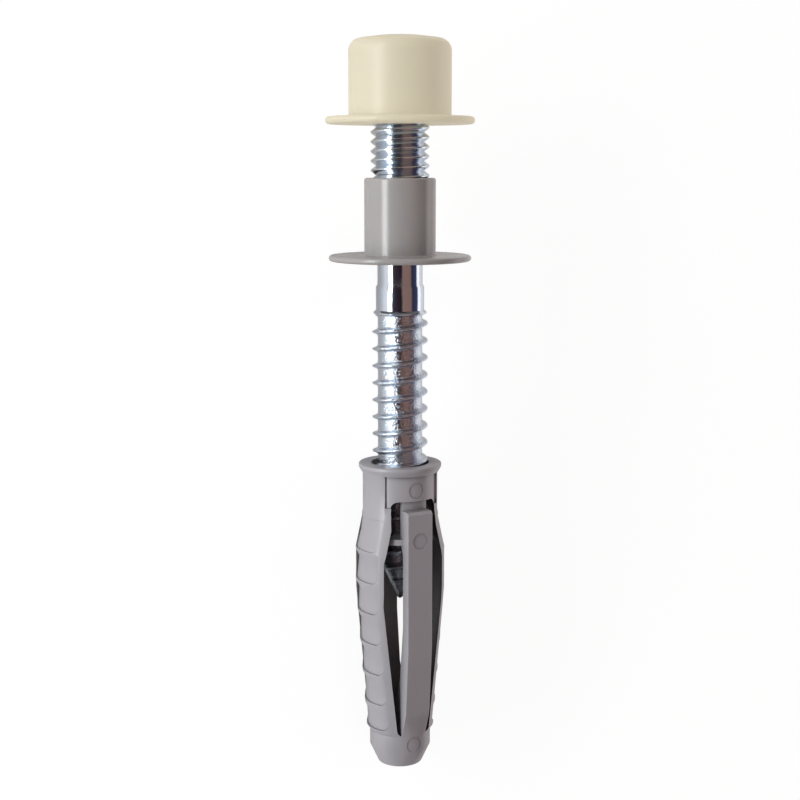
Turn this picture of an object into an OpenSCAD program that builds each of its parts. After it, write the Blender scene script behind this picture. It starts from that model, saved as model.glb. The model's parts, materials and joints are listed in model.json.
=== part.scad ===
// Cistern wall fixing: slotted wall plug, hanger bolt, flanged bush and flanged cap nut
// The four pieces share one axis and the whole fixing lies on its side, cap towards +Y.
// Heights called s run along that axis: 0 at the plug's mouth, positive towards the cap.

/* [Wall plug] */
// length of the plug from mouth to tip, mm
plug_len = 42.7; // [40:0.1:46]
// radius of the plug's neck, half its 10.2 mm nominal size, mm
neck_r = 5.1; // [5:0.05:5.3]
// radius of the lip at the mouth, mm
lip_r = 5.65; // [5.4:0.05:6]
// height of the lip's straight edge, mm
lip_h = 0.5; // [0.3:0.05:0.8]
// height of the cone under the lip, mm
lip_cone_h = 0.9; // [0.5:0.1:1.2]
// depth where the neck begins to flare, mm
flare_s = 7.2; // [6:0.1:8]
// depth of the first rib's crest, mm
rib_first_s = 11.65; // [11:0.05:12.5]
// distance from one rib to the next, mm
rib_pitch = 4.35; // [4:0.05:4.4]
// number of ribs
rib_count = 6; // [5:1:6]
// radius at the widest crests, mm
rib_r = 6.1; // [5.8:0.05:6.4]
// crest radius at the last rib, mm
rib_end_r = 4.93; // [4.7:0.01:5.1]
// height of the small ledge above each crest, mm
rib_ledge = 0.15; // [0.1:0.01:0.25]
// how far the surface falls in below a crest, mm
rib_fall = 0.35; // [0.2:0.01:0.5]
// length over which it falls in, mm
rib_fall_h = 1.3; // [0.8:0.1:1.8]
// radius of the nose, mm
nose_r = 4.2; // [4:0.05:4.4]
// radius of the flat end of the nose, mm
tip_r = 3.0; // [2.6:0.1:3.4]
// length of the nose's cone, mm
tip_cone_h = 2.6; // [2:0.1:3]
// depth of the top of the slots, mm
slot_top_s = 4.6; // [4:0.1:5]
// depth of the bottom of the slots, mm
slot_end_s = 37.7; // [37:0.1:38.4]
// half width of a slot at its top, mm
slot_top_w = 3.4; // [3.2:0.05:3.6]
// half width of a slot in the middle, mm
slot_mid_w = 4.5; // [4.2:0.05:4.6]
// half width of a slot at its bottom, mm
slot_end_w = 2.4; // [2.2:0.05:2.6]
// half width of the recess above a slot, mm
panel_w = 3.7; // [3.5:0.05:3.9]
// radius inside that recess, mm
panel_r = 4.55; // [4.4:0.05:4.7]
// angle between a tongue and the bevels on the legs' edges, degrees
bevel_angle = 38; // [34:1:42]
// distance of the bevels from the axis, as a share of the crests
bevel_share = 0.95; // [0.93:0.01:0.98]

/* [Locking tongues] */
// width of a tongue, mm
tongue_w = 3.66; // [3.4:0.02:3.9]
// distance of a tongue's flat face from the axis, mm
tongue_r = 5.85; // [5.7:0.05:6]
// depth of a tongue's free end, mm
tongue_top_s = 5.9; // [5.6:0.1:6.2]
// depth where the flat face begins to slope in, mm
tongue_flat_s = 25; // [23:0.5:27]
// distance of the sloping face from the axis near the nose, mm
tongue_low_r = 5.2; // [5:0.05:5.4]
// depth of that point, mm
tongue_low_s = 34; // [33:0.5:35]
// outer radius of the web that holds a tongue's end, mm
web_r = 4.45; // [4.35:0.05:4.5]
// depth of the small bridges beside a tongue, mm
bridge_s = 9.8; // [9.4:0.1:10.2]
// height of those bridges, mm
bridge_h = 0.8; // [0.6:0.1:1]
// radius of the shallow round moulding marks, mm
mark_r = 1.1; // [0.9:0.05:1.25]
// depth of those marks, mm
mark_depth = 0.1; // [0.05:0.05:0.15]

/* [Hanger bolt] */
// outer radius of the wood-screw thread, mm
coach_r = 3.75; // [3.6:0.05:3.85]
// core radius of the wood-screw thread, mm
coach_core_r = 3.0; // [2.85:0.05:3.1]
// pitch of the wood-screw thread, mm
coach_pitch = 2.32; // [2.1:0.01:2.5]
// width of the ridge at its root, mm
ridge_base = 1.1; // [0.9:0.05:1.3]
// width of the ridge at its crest, mm
ridge_crest = 0.3; // [0.2:0.05:0.4]
// depth of the bolt's tip below the plug's mouth, mm
bolt_tip_s = 19.3; // [18:0.1:21]
// height where the wood-screw thread ends, mm
coach_end_s = 20.5; // [20:0.1:21]
// length of the conical point, mm
point_h = 6; // [5:0.1:7]
// radius of the collar above the thread, mm
collar_r = 3.24; // [3.1:0.02:3.4]
// height of the collar's upper end, mm
collar_end_s = 24.2; // [23.5:0.1:25]
// radius of the plain shank, mm
shank_r = 3.03; // [2.95:0.01:3.1]
// height where the metric thread begins, mm
metric_start_s = 30; // [29:0.5:31]
// outer radius of the metric thread, mm
metric_r = 3.9; // [3.85:0.01:3.95]
// root radius of the metric thread, mm
metric_root_r = 3.2; // [3.15:0.01:3.3]
// pitch of the metric thread, mm
metric_pitch = 1.25; // [1.2:0.01:1.3]
// turns of metric thread
metric_turns = 20; // [19:1:20]

/* [Flanged bush] */
// radius of the sleeve, mm
sleeve_r = 4.77; // [4.7:0.01:4.9]
// radius of the bush's flange, mm
bush_flange_r = 9.53; // [9.3:0.01:9.8]
// thickness of that flange, mm
bush_flange_h = 0.8; // [0.7:0.05:0.9]
// height of the flange's lower face, mm
bush_s = 27.4; // [27:0.1:28]
// length of the bush, mm
bush_len = 11.0; // [10.5:0.1:11.2]
// rounding of the sleeve's end, inside and outside, mm
sleeve_round = 0.25; // [0.15:0.05:0.3]

/* [Cap nut] */
// radius of the cap's body, mm
cap_r = 6.81; // [6.6:0.01:7]
// radius of the cap's flange, mm
cap_flange_r = 9.9; // [9.7:0.05:10.1]
// thickness of that flange, mm
cap_flange_h = 1.0; // [0.8:0.05:1.2]
// height of the flange's lower face, mm
cap_s = 45.4; // [45:0.1:46]
// length of the cap, mm
cap_len = 11.5; // [11:0.1:12]
// rounding of the cap's top edge, mm
cap_round = 1.4; // [1:0.1:1.8]
// radius of the slightly domed top, mm
dome_r = 37; // [30:1:45]

/* [Fits] */
// gap between the wood-screw thread and the plug's channel, mm
channel_gap = 0.2; // [0.15:0.01:0.3]
// gap between the metric thread and the bush's bore, mm
bush_gap = 0.25; // [0.2:0.01:0.35]
// gap between the metric thread and the cap's bore, mm
cap_gap = 0.1; // [0.08:0.01:0.15]
// gap between the bolt's end and the bottom of the cap's bore, mm
seat_gap = 0.1; // [0.05:0.01:0.2]
// which piece to draw

/* [Hidden] */
$fn = 96;
// colours of the four pieces
plug_colour = [0.66, 0.66, 0.68];
steel_colour = [0.78, 0.80, 0.82];
bush_colour = [0.60, 0.59, 0.58];
cap_colour = [0.86, 0.82, 0.70];
// straight sides round the threads
thread_seg = 20;
// channel down the plug
channel_r = coach_r + channel_gap;
channel_flat_s = 27;
channel_end_s = 36.5;
channel_end_r = 1.6;
// depth below which the crests grow smaller
rib_taper_s = 17.5;
rib_last_s = rib_first_s + 5 * 4.35;
nose_top_s = slot_end_s;
nose_cone_s = plug_len - tip_cone_h;
// heights along the bolt
metric_end_s = metric_start_s + metric_turns * metric_pitch;
// bores of the bush and the cap
bush_bore_r = metric_r + bush_gap;
cap_bore_r = metric_r + cap_gap;
cap_bore_h = metric_end_s + seat_gap - cap_s;
cap_top_s = cap_s + cap_len;
// radius of a flange's fully rounded rim
bush_rim = bush_flange_h / 2;
cap_rim = cap_flange_h / 2;
// how the fixing lies: on the lower tongue and on the rim of the bush's flange
rest_run = bush_s + bush_rim + tongue_flat_s;
rest_rise = bush_flange_r - bush_rim - tongue_r;
tilt = atan2(rest_rise, rest_run) + asin(bush_rim / norm([rest_run, rest_rise]));
place_z = tongue_flat_s * sin(tilt) + tongue_r * cos(tilt);
low_y = -plug_len * cos(tilt) - tip_r * sin(tilt);
high_y = (cap_top_s - dome_r) * cos(tilt) + dome_r;
place_y = -(low_y + high_y) / 2;

// crest radius of the ribs at depth s
function crest_at(s) = s <= rib_taper_s ? rib_r
    : rib_r - (rib_r - rib_end_r) * (s - rib_taper_s) / (rib_last_s - rib_taper_s);

// outer profile of the plug from the lip down to the tip, as radius and height
function plug_points() = concat(
    [[0, 0], [lip_r, 0], [lip_r, -lip_h], [neck_r, -lip_h - lip_cone_h],
     [neck_r, -flare_s], [neck_r + 0.13, -flare_s - 1], [neck_r + 0.26, -flare_s - 2.2],
     [neck_r + 0.55, -flare_s - 3.3]],
    [for (i = [0 : rib_count - 1])
        let (s = rib_first_s + i * rib_pitch, c = crest_at(s))
        each [[c - rib_ledge, -s], [c, -s - 0.01], [c - rib_fall, -s - rib_fall_h]]],
    [[crest_at(nose_top_s) - 0.1, -nose_top_s + 0.9], [nose_r, -nose_top_s],
     [nose_r, -nose_cone_s], [tip_r, -plug_len], [0, -plug_len]]);

// outline of a slot seen along a tongue, as half width and height
function slot_points() = [
    [-slot_top_w + 0.4, -slot_top_s], [slot_top_w - 0.4, -slot_top_s],
    [slot_top_w, -slot_top_s - 0.4], [slot_top_w + 0.15, -8.5],
    [slot_mid_w, -13], [slot_mid_w, -19], [slot_end_w + 0.1, -slot_end_s + 0.9],
    [slot_end_w - 0.25, -slot_end_s + 0.25], [slot_end_w - 0.8, -slot_end_s],
    [-slot_end_w + 0.8, -slot_end_s], [-slot_end_w + 0.25, -slot_end_s + 0.25],
    [-slot_end_w - 0.1, -slot_end_s + 0.9], [-slot_mid_w, -19], [-slot_mid_w, -13],
    [-slot_top_w - 0.15, -8.5], [-slot_top_w, -slot_top_s - 0.4]];

// side view of a tongue, as distance from the axis and height
function tongue_points() = [
    [2.6, -tongue_top_s], [tongue_r - 0.35, -tongue_top_s],
    [tongue_r, -tongue_top_s - 0.35], [tongue_r, -tongue_flat_s],
    [tongue_low_r, -tongue_low_s], [nose_r, -nose_top_s - 0.8],
    [nose_r - 0.6, -nose_top_s - 2], [0.8, -nose_top_s - 2],
    [0.8, -channel_end_s], [2.6, -channel_flat_s]];

// a flat outline drawn in the plane of the axis and a direction at the given angle
module upright_slice(angle, width) {
    rotate([0, 0, angle]) rotate([90, 0, 0])
        translate([0, 0, -width / 2]) linear_extrude(height = width) children();
}

// planes that bevel the legs' edges, one on each side of each tongue
module leg_bevels() {
    for (side = [90, -90])
        for (turn = [-bevel_angle, bevel_angle])
            upright_slice(side + turn, 7)
                polygon([[bevel_share * rib_r, -flare_s], [9, -flare_s],
                         [9, -nose_top_s - 3], [bevel_share * crest_at(nose_top_s), -nose_top_s],
                         [bevel_share * rib_r, -rib_taper_s]]);
}

// recess in the neck above each slot
module neck_panels() {
    intersection() {
        translate([0, 0, -slot_top_s - 0.5]) difference() {
            cylinder(h = slot_top_s - 1.4, r = 7);
            translate([0, 0, -1]) cylinder(h = slot_top_s + 2, r = panel_r);
        }
        translate([-panel_w, -8, -8]) cube([2 * panel_w, 16, 8]);
    }
}

// one tongue with the web that ties its end to the neck and its two small bridges
module tongue(side) {
    upright_slice(side, tongue_w) polygon(tongue_points());
    intersection() {
        translate([0, 0, -8]) cylinder(h = 8, r = web_r);
        upright_slice(side, tongue_w)
            translate([2.6, -tongue_top_s - 0.3]) square([4, tongue_top_s - slot_top_s + 0.8]);
    }
    intersection() {
        translate([0, 0, -15]) cylinder(h = 12, r = 4.75);
        upright_slice(side, 2 * slot_top_w + 0.9)
            translate([2.2, -bridge_s - bridge_h / 2]) square([4, bridge_h]);
    }
}

// shallow round marks left by the mould on the front: neck, tongue and nose
module mould_marks() {
    for (m = [[-3.15, panel_r, mark_r + 0.05], [-9.9, tongue_r, mark_r]])
        translate([0, -m[1] + mark_depth, m[0]]) rotate([90, 0, 0]) cylinder(h = 3, r = m[2]);
}

// slotted, ribbed wall plug with two locking tongues and a tapering channel
module wall_plug() {
    color(plug_colour) difference() {
        union() {
            difference() {
                rotate_extrude() polygon(plug_points());
                neck_panels();
                translate([0, 10, 0]) rotate([90, 0, 0])
                    linear_extrude(height = 20) polygon(slot_points());
                leg_bevels();
            }
            tongue(90);
            tongue(-90);
        }
        rotate_extrude() polygon([[0, 1], [channel_r, 1], [channel_r, -channel_flat_s],
            [channel_end_r, -channel_end_s], [0, -channel_end_s - 0.8]]);
        mould_marks();
    }
}

// share of the full radius at a height above the point
function point_share(h) = min(1, 0.08 + 0.92 * h / point_h);

// share of the ridge's height at column k of last, growing from both ends
function ridge_share(k, last, seg) = min(1, k / seg, (last - k) / (seg * 0.75));

// point of a thread: column k, row j, with rows given as height and crest share
function thread_point(k, j, rows, last, seg, pitch, z0, root, crest, pointed) =
    let (z = z0 + k * pitch / seg + rows[j][0],
         r = (root + (crest - root) * rows[j][1] * ridge_share(k, last, seg))
             * (pointed ? point_share(z - z0) : 1),
         a = 360 * k / seg)
    [r * cos(a), r * sin(a), z];

// solid screw thread: a strip of rows that winds up the axis, closed at both ends
module thread(rows, turns, seg, pitch, z0, z_low, z_high, root, crest, pointed) {
    n = len(rows);
    top = n - 1;
    last = turns * seg;
    strip = [for (k = [0 : last]) for (j = [0 : top])
        thread_point(k, j, rows, last, seg, pitch, z0, root, crest, pointed)];
    low_r = root * (pointed ? 0.02 : 1);
    low_ring = pointed ? [[0, 0, z_low]]
        : [for (m = [0 : seg - 1]) [low_r * cos(360 * m / seg), low_r * sin(360 * m / seg), z_low]];
    high_ring = [for (m = [0 : seg - 1]) [root * cos(360 * m / seg), root * sin(360 * m / seg), z_high]];
    low_i = len(strip);
    high_i = low_i + len(low_ring);
    // ridge bands, then the core band that joins each turn to the next
    bands = [for (k = [0 : last - 1]) for (j = [0 : top - 1])
        let (a = k * n + j, b = a + 1, c = b + n, d = a + n)
        each [[a, b, c], [a, c, d]]];
    core = [for (k = [0 : last - seg - 1])
        let (a = k * n + top, b = (k + seg) * n, c = b + n, d = a + n)
        each [[a, b, c], [a, c, d]]];
    // lower end
    low_side = [for (m = [0 : seg - 2])
        each (pointed ? [[low_i, m * n, (m + 1) * n]]
            : [[low_i + m, m * n, (m + 1) * n], [low_i + m, (m + 1) * n, low_i + m + 1]])];
    lf = (seg - 1) * n;
    low_chain = concat([seg * n], [for (j = [top : -1 : 0]) j],
        [low_i], pointed ? [] : [low_i + seg - 1]);
    low_fan = [for (i = [0 : len(low_chain) - 2]) [lf, low_chain[i], low_chain[i + 1]]];
    low_face = pointed ? [] : [[for (m = [0 : seg - 1]) low_i + m]];
    // upper end
    high_side = [for (m = [1 : seg - 1])
        let (a = (last - seg + m) * n + top, b = high_i + m, c = high_i + (m + 1) % seg, d = a + n)
        each [[a, b, c], [a, c, d]]];
    hf = (last - seg + 1) * n + top;
    high_chain = concat([(last - seg) * n + top], [for (j = [0 : top]) last * n + j],
        [high_i, high_i + 1]);
    high_fan = [for (i = [0 : len(high_chain) - 2]) [hf, high_chain[i], high_chain[i + 1]]];
    high_face = [[for (m = [seg - 1 : -1 : 0]) high_i + m]];
    polyhedron(points = concat(strip, low_ring, high_ring),
        faces = concat(bands, core, low_side, low_fan, low_face, high_side, high_fan, high_face),
        convexity = 10);
}

// wood-screw end of the bolt, with a conical point
module coach_thread() {
    z0 = -bolt_tip_s + 0.7;
    side = (ridge_base - ridge_crest) / 2;
    rows = [[0, 0], [side, 1], [side + ridge_crest, 1], [ridge_base, 0]];
    turns = floor((coach_end_s - 0.3 - ridge_base - z0) / coach_pitch);
    thread(rows, turns, thread_seg, coach_pitch, z0, -bolt_tip_s, coach_end_s,
        coach_core_r, coach_r, true);
}

// machine-screw end of the bolt
module metric_thread() {
    rows = [[0, 0], [metric_pitch * 0.55, 1]];
    thread(rows, metric_turns - 1, thread_seg, metric_pitch, metric_start_s + 0.25,
        metric_start_s, metric_end_s, metric_root_r, metric_r, false);
}

// hanger bolt: wood-screw thread, collar, plain shank and machine-screw thread
module hanger_bolt() {
    color(steel_colour) union() {
        coach_thread();
        translate([0, 0, coach_end_s]) cylinder(h = collar_end_s - coach_end_s, r = collar_r);
        translate([0, 0, collar_end_s]) cylinder(h = metric_start_s - collar_end_s, r = shank_r);
        metric_thread();
    }
}

// flanged bush: a thin round flange with a sleeve towards the cap
module flanged_bush() {
    color(bush_colour) translate([0, 0, bush_s]) rotate_extrude() {
        difference() {
            translate([bush_bore_r, 0]) square([sleeve_r - bush_bore_r, bush_len]);
            translate([sleeve_r - sleeve_round, bush_len - sleeve_round]) difference() {
                square(sleeve_round + 1);
                circle(r = sleeve_round);
            }
        }
        translate([bush_bore_r, 0]) square([bush_flange_r - bush_rim - bush_bore_r, bush_flange_h]);
        translate([bush_flange_r - bush_rim, bush_rim]) circle(r = bush_rim);
    }
}

// cap nut: a flanged cap with a blind bore and a slightly domed top
module cap_nut() {
    dome_z = cap_len - dome_r;
    round_x = cap_r - cap_round;
    round_z = dome_z + sqrt(pow(dome_r - cap_round, 2) - pow(round_x, 2));
    lean = asin(round_x / (dome_r - cap_round));
    color(cap_colour) translate([0, 0, cap_s]) difference() {
        rotate_extrude() {
            difference() {
                intersection() {
                    square([cap_r, cap_len]);
                    translate([0, dome_z]) circle(r = dome_r);
                }
                translate([round_x, round_z]) difference() {
                    polygon([[0, 0], [3 * sin(lean), 3 * cos(lean)], [4, 4], [4, 0]]);
                    circle(r = cap_round);
                }
            }
            square([cap_flange_r - cap_rim, cap_flange_h]);
            translate([cap_flange_r - cap_rim, cap_rim]) circle(r = cap_rim);
        }
        translate([0, 0, -1]) cylinder(h = cap_bore_h + 1, r = cap_bore_r);
    }
}

// lays a piece drawn upright on its side, as the fixing rests
module laid() {
    translate([0, place_y, place_z]) rotate([tilt, 0, 0]) rotate([-90, 0, 0]) children();
}

laid() wall_plug();
laid() hanger_bolt();
laid() flanged_bush();
laid() cap_nut();
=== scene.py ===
"""Cistern wall fixing: slotted plug, hanger bolt, flanged bush and cap nut on one axis."""
import json
import math

import bmesh
import bpy
from bpy.props import FloatProperty, FloatVectorProperty, IntProperty, PointerProperty
from mathutils import Matrix, Vector


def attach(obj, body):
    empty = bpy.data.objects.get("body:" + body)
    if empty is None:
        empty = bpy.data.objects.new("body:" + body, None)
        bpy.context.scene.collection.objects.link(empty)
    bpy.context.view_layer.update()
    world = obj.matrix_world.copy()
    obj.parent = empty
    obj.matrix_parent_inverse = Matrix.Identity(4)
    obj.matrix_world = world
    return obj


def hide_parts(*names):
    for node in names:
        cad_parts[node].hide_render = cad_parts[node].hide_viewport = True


bl_info = {
    "name": "Cistern Wall Fixing",
    "version": (1, 0, 0),
    "blender": (4, 5, 0),
    "location": "3D View > Sidebar > Wall Fixing",
    "description": "Builds a wall plug, hanger bolt, flanged bush and cap nut round the packed frame",
    "category": "Object",
}

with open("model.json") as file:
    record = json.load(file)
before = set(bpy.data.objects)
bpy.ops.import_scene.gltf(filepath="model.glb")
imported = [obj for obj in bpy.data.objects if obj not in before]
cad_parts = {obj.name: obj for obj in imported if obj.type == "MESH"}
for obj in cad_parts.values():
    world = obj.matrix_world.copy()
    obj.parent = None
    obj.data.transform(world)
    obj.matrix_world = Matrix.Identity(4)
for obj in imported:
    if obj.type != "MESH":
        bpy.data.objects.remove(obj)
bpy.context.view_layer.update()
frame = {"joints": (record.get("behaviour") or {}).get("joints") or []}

# How the fixing lies
MM = 0.001
AXIS = Vector(frame["joints"][0]["axis"]).normalized()
TILT = math.atan2(AXIS.z, AXIS.y)
MOUTH = Vector((0.0, -7.023283, 7.574499)) * MM
REST = Matrix.Translation(MOUTH) @ Matrix.Rotation(TILT - math.pi / 2, 4, "X") @ Matrix.Scale(MM, 4)
SMOOTH_ANGLE = math.radians(32)


def length(name, description, default):
    """A size in millimetres."""
    return FloatProperty(name=name, description=description, default=default, min=0.01)


def colour(name, description, default):
    """A surface colour."""
    return FloatVectorProperty(
        name=name, description=description, default=default, size=3, min=0, max=1, subtype="COLOR"
    )


class FIXING_PG_plug(bpy.types.PropertyGroup):
    """Wall plug: sizes and finish"""

    height: length("Length", "Length of the plug, in mm", 42.7)
    lip: length("Lip", "Radius of the lip at the mouth, in mm", 5.65)
    neck: length("Neck", "Radius of the neck, in mm", 5.1)
    rib: length("Ribs", "Radius at the widest ribs, in mm", 6.1)
    rib_end: length("Last rib", "Radius at the last rib, in mm", 4.93)
    rib_first: length("First rib", "Depth of the first rib, in mm", 11.65)
    rib_pitch: length("Rib pitch", "Distance from one rib to the next, in mm", 4.35)
    rib_count: IntProperty(name="Rib count", description="Number of ribs", default=6, min=2, max=6)
    rib_fall: length("Rib hollow", "How far a scale falls in below the crest above it, in mm", 0.48)
    nose: length("Nose", "Radius of the nose, in mm", 4.2)
    tip: length("Tip", "Radius of the flat end, in mm", 3.0)
    slot_top: length("Slot top", "Depth of the top of the slots, in mm", 4.6)
    slot_end: length("Slot end", "Depth of the bottom of the slots, in mm", 37.7)
    slot_half: length("Slot half width", "Half width of a slot in the middle, in mm", 4.5)
    tongue: length("Tongue width", "Width of a tongue, in mm", 3.66)
    tongue_face: length("Tongue face", "Distance of its flat face from the axis, in mm", 5.85)
    channel: length("Channel", "Radius of the channel, in mm", 3.95)
    edge_round: length("Edge rounding", "Soft edge left by the mould, in mm", 0.11)
    nylon: colour("Nylon", "Grey of the moulded nylon", (0.375, 0.358, 0.38))
    grain: FloatProperty(name="Grain", description="Strength of the fine moulded grain", default=0.12)


class FIXING_PG_bolt(bpy.types.PropertyGroup):
    """Hanger bolt: sizes and finish"""

    tip: length("Tip", "Depth of the point below the plug's mouth, in mm", 19.3)
    point: length("Point", "Length of the conical point, in mm", 6.0)
    coach_end: length("Screw end", "Height where the wood-screw thread ends, in mm", 20.5)
    coach_core: length("Screw core", "Core radius of the wood-screw thread, in mm", 3.0)
    coach_outer: length("Screw crest", "Outer radius of the wood-screw thread, in mm", 3.75)
    coach_pitch: length("Screw pitch", "Pitch of the wood-screw thread, in mm", 2.32)
    shoulder: length("Shoulder", "Radius of the ring that ends the wood-screw thread, in mm", 3.6)
    collar: length("Collar", "Radius of the collar, in mm", 3.24)
    collar_end: length("Collar end", "Height of the collar's upper end, in mm", 24.2)
    shank: length("Shank", "Radius of the plain shank, in mm", 3.03)
    metric_start: length("Thread start", "Height where the machine thread begins, in mm", 30.0)
    metric_end: length("Thread end", "Height where the bolt ends, in mm", 55.0)
    metric_root: length("Thread root", "Root radius of the machine thread, in mm", 3.2)
    metric_outer: length("Thread crest", "Outer radius of the machine thread, in mm", 3.9)
    metric_pitch: length("Thread pitch", "Pitch of the machine thread, in mm", 1.25)
    sides: IntProperty(name="Sides", description="Steps in one turn", default=64, min=12, max=96)
    zinc: colour("Zinc", "Colour of the zinc plate", (0.62, 0.66, 0.70))


class FIXING_PG_bush(bpy.types.PropertyGroup):
    """Flanged bush: sizes and finish"""

    foot: length("Foot", "Height of the flange's lower face, in mm", 27.4)
    height: length("Length", "Length of the bush, in mm", 11.0)
    sleeve: length("Sleeve", "Outer radius of the sleeve, in mm", 4.77)
    bore: length("Bore", "Radius of the bore, in mm", 4.15)
    flange: length("Flange", "Radius of the flange, in mm", 9.53)
    flange_thick: length("Flange thickness", "Thickness of the flange, in mm", 0.8)
    nylon: colour("Nylon", "Grey of the bush", (0.35, 0.33, 0.324))


class FIXING_PG_cap(bpy.types.PropertyGroup):
    """Cap nut: sizes and finish"""

    foot: length("Foot", "Height of the flange's lower face, in mm", 45.4)
    height: length("Length", "Length of the cap, in mm", 11.5)
    body: length("Body", "Radius of the cap's body, in mm", 6.81)
    flange: length("Flange", "Radius of the flange, in mm", 9.9)
    flange_thick: length("Flange thickness", "Thickness of the flange, in mm", 1.0)
    edge_round: length("Edge rounding", "Rounding of the top edge, in mm", 1.4)
    bore: length("Bore", "Radius of the blind bore, in mm", 4.0)
    bore_depth: length("Bore depth", "Depth of the blind bore, in mm", 9.7)
    dome: length("Dome", "Radius of the slightly domed top, in mm", 37.0)
    nylon: colour("Nylon", "Cream of the cap", (0.574, 0.532, 0.42))


class FIXING_PG_stage(bpy.types.PropertyGroup):
    """Floor, lamps and camera"""

    floor_size: FloatProperty(
        name="Floor size", description="Width of the pale floor", default=3.0, unit="LENGTH"
    )
    camera_height: FloatProperty(
        name="Camera distance", description="Distance of the camera from the fixing's axis",
        default=0.2013, unit="LENGTH",
    )
    camera_along: FloatProperty(
        name="Camera place", description="Place of the camera along the axis, from the plug's mouth",
        default=0.04024, unit="LENGTH",
    )
    camera_lean: FloatProperty(
        name="Camera lean", description="Angle by which the camera looks down towards the plug",
        default=math.radians(8.95), subtype="ANGLE",
    )
    camera_roll: FloatProperty(
        name="Tongue angle", description="Angle round the axis between the tongue and the camera",
        default=math.radians(28.0), subtype="ANGLE",
    )
    lens: FloatProperty(name="Lens", description="Focal length of the camera, in mm", default=67.5)
    white: colour("Floor colour", "Colour of the floor and the surroundings", (1.0, 1.0, 1.0))
    left_light: colour("Room light, left", "Soft light from the left side", (0.24, 0.23, 0.235))
    top_light: colour("Room light, above", "Soft light from above", (0.27, 0.25, 0.255))
    right_light: colour("Room light, right", "Soft light from the right side", (0.62, 0.54, 0.53))
    flank_light: colour("Thread light", "What the thread's flanks reflect", (0.50, 0.53, 0.58))
    floor_glow: FloatProperty(
        name="Floor glow", description="Share of plain white that the camera sees on the floor",
        default=0.8, min=0, max=1,
    )


# Meshes
def outline_face(bm, corners):
    """A face in the XZ plane from corners given as radius and height."""
    return bm.faces.new([bm.verts.new((r, 0.0, z)) for r, z in corners])


def round_corner(bm, corner, radius, segments=8):
    """Rounds the outline's corner nearest to a radius and height."""
    place = Vector((corner[0], 0.0, corner[1]))
    vert = min(bm.verts, key=lambda v: (v.co - place).length)
    bmesh.ops.bevel(
        bm, geom=[vert], offset=radius, offset_type="OFFSET", affect="VERTICES",
        segments=segments, profile=0.5, material=-1,
    )


def turn_outline(bm, steps):
    """Turns the outline into a closed round shape about the Z axis."""
    bmesh.ops.delete(bm, geom=list(bm.faces), context="FACES_ONLY")
    on_axis = [e for e in bm.edges if all(abs(v.co.x) < 1e-6 for v in e.verts)]
    bmesh.ops.delete(bm, geom=on_axis, context="EDGES")
    bmesh.ops.spin(
        bm, geom=list(bm.verts) + list(bm.edges), cent=(0, 0, 0), axis=(0, 0, 1), dvec=(0, 0, 0),
        angle=2 * math.pi, steps=steps, use_merge=True, use_duplicate=False,
    )
    bmesh.ops.remove_doubles(bm, verts=list(bm.verts), dist=1e-4)
    bmesh.ops.recalc_face_normals(bm, faces=list(bm.faces))


def finish_piece(bm, name, node, body, material):
    """Lays a mesh in place and makes it the piece that stands for a node."""
    bmesh.ops.transform(bm, matrix=REST, verts=list(bm.verts))
    mesh = bpy.data.meshes.new(name)
    bm.to_mesh(mesh)
    bm.free()
    mesh.polygons.foreach_set("use_smooth", [True] * len(mesh.polygons))
    mesh.set_sharp_from_angle(angle=SMOOTH_ANGLE)
    piece = bpy.data.objects.new(name, mesh)
    bpy.context.scene.collection.objects.link(piece)
    mesh.materials.append(material)
    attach(piece, body)
    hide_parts(node)
    return piece


def turned(outline, rounds=(), steps=96):
    """A closed round shape from an outline, with some of its corners rounded."""
    bm = bmesh.new()
    outline_face(bm, outline)
    for corner, radius in rounds:
        round_corner(bm, corner, radius, 4)
    turn_outline(bm, steps)
    return bm


def slab(outline, thickness, turn=0.0):
    """A block of an outline in the XZ plane, centred on that plane and turned about the Z axis."""
    bm = bmesh.new()
    face = outline_face(bm, outline)
    grown = bmesh.ops.extrude_face_region(bm, geom=[face])["geom"]
    far = [item for item in grown if isinstance(item, bmesh.types.BMVert)]
    bmesh.ops.translate(bm, vec=(0, thickness, 0), verts=far)
    bmesh.ops.translate(bm, vec=(0, -thickness / 2, 0), verts=list(bm.verts))
    bmesh.ops.rotate(
        bm, cent=(0, 0, 0), matrix=Matrix.Rotation(math.radians(turn), 3, "Z"),
        verts=list(bm.verts),
    )
    bmesh.ops.recalc_face_normals(bm, faces=list(bm.faces))
    return bm


def carve(bm, tool, operation="DIFFERENCE"):
    """The difference, union or intersection of two closed shapes, both of which it uses up."""
    parts = []
    for shape in (bm, tool):
        mesh = bpy.data.meshes.new("shape")
        shape.to_mesh(mesh)
        shape.free()
        parts.append(bpy.data.objects.new("shape", mesh))
        bpy.context.scene.collection.objects.link(parts[-1])
    cut = parts[0].modifiers.new("Cut", "BOOLEAN")
    cut.object = parts[1]
    cut.operation = operation
    cut.solver = "EXACT"
    bpy.context.view_layer.update()
    evaluated = parts[0].evaluated_get(bpy.context.evaluated_depsgraph_get())
    result = bmesh.new()
    result.from_mesh(evaluated.to_mesh())
    evaluated.to_mesh_clear()
    bmesh.ops.remove_doubles(result, verts=list(result.verts), dist=0.002)
    bmesh.ops.dissolve_degenerate(result, dist=0.001, edges=list(result.edges))
    for part in parts:
        mesh = part.data
        bpy.data.objects.remove(part)
        bpy.data.meshes.remove(mesh)
    return result


def arc(x, z, radius, start, end, steps=4):
    """Points of an arc, with its angles in degrees."""
    angles = [math.radians(start + (end - start) * k / steps) for k in range(steps + 1)]
    return [(x + radius * math.cos(a), z + radius * math.sin(a)) for a in angles]


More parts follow.
